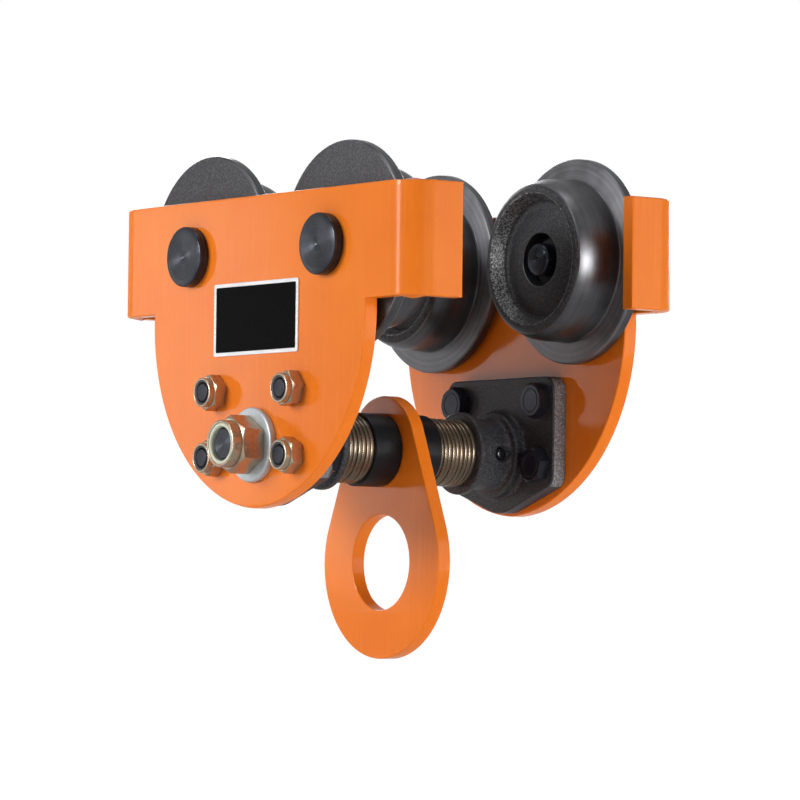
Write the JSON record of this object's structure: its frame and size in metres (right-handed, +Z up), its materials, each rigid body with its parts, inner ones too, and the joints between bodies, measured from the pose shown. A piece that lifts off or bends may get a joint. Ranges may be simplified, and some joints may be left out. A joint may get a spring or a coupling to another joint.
{
  "type": "beam trolley",
  "caption": "Push-type beam trolley with painted side plates, flanged wheels, a crossbar and a swinging eye plate.",
  "frame": {"origin": "middle of the trolley on the running surface of the beam's lower flange, where the wheel treads touch it", "axes": "+X along the beam, +Y along the crossbar towards the side plate without the label, +Z up"},
  "size_m": [0.3, 0.25, 0.3002],
  "materials": {
    "orange_paint": "gloss paint",
    "label": "satin black with a silver border",
    "wheel_iron": "turned and blackened",
    "hub_iron": "black paint over sand cast skin",
    "bearing_steel": "ground",
    "dark_steel": "blackened",
    "yellow_zinc": "yellow zinc plate",
    "bright_zinc": "bright zinc plate",
    "dark_nylon": "satin",
    "cream_nylon": "satin",
    "black_steel": "smooth black"
  },
  "bodies": {
    "frame": {"side_plate_front": "orange_paint", "side_plate_back": "orange_paint", "label_plate": "label", "axle_front_left": "dark_steel", "axle_front_right": "dark_steel", "axle_back_left": "dark_steel", "axle_back_right": "dark_steel", "spacer_front_left": "bearing_steel", "spacer_front_right": "bearing_steel", "spacer_back_left": "bearing_steel", "spacer_back_right": "bearing_steel", "hub_front": "hub_iron", "hub_back": "hub_iron", "hub_bolts_front": "dark_steel", "hub_bolts_back": "dark_steel", "hub_nuts_front": "yellow_zinc", "hub_nuts_back": "yellow_zinc", "hub_nut_inserts_front": "dark_nylon", "hub_nut_inserts_back": "dark_nylon", "lock_screw_front": "bearing_steel", "lock_screw_back": "bearing_steel", "crossbar": "dark_steel", "end_washer_front": "bright_zinc", "end_washer_back": "bright_zinc", "end_nut_front": "yellow_zinc", "end_nut_back": "yellow_zinc", "end_nut_insert_front": "cream_nylon", "end_nut_insert_back": "cream_nylon", "adjusting_washers_front": "yellow_zinc", "adjusting_washers_back": "yellow_zinc", "collar_front": "black_steel", "collar_back": "black_steel"},
    "wheel_assembly_front_left": {"wheel_front_left": "wheel_iron", "bearing_front_left": "bearing_steel", "retaining_ring_front_left": "bearing_steel"},
    "wheel_assembly_front_right": {"wheel_front_right": "wheel_iron", "bearing_front_right": "bearing_steel", "retaining_ring_front_right": "bearing_steel"},
    "wheel_assembly_back_left": {"wheel_back_left": "wheel_iron", "bearing_back_left": "bearing_steel", "retaining_ring_back_left": "bearing_steel"},
    "wheel_assembly_back_right": {"wheel_back_right": "wheel_iron", "bearing_back_right": "bearing_steel", "retaining_ring_back_right": "bearing_steel"},
    "eye": {"eye_plate": "orange_paint"}
  },
  "joints": [
    {"name": "wheel_front_left_spin", "type": "hinge", "parent": "frame", "child": "wheel_assembly_front_left", "pos_m": [-0.0685, -0.069, 0.0485], "axis": [0, 1, 0], "continuous": true},
    {"name": "wheel_front_right_spin", "type": "hinge", "parent": "frame", "child": "wheel_assembly_front_right", "pos_m": [0.0685, -0.069, 0.0485], "axis": [0, 1, 0], "continuous": true},
    {"name": "wheel_back_left_spin", "type": "hinge", "parent": "frame", "child": "wheel_assembly_back_left", "pos_m": [-0.0685, 0.069, 0.0485], "axis": [0, 1, 0], "continuous": true},
    {"name": "wheel_back_right_spin", "type": "hinge", "parent": "frame", "child": "wheel_assembly_back_right", "pos_m": [0.0685, 0.069, 0.0485], "axis": [0, 1, 0], "continuous": true},
    {"name": "eye_swing", "type": "hinge", "parent": "frame", "child": "eye", "pos_m": [0, -0.003, -0.0657], "axis": [0, 1, 0], "range_deg": [-75, 75]}
  ]
}
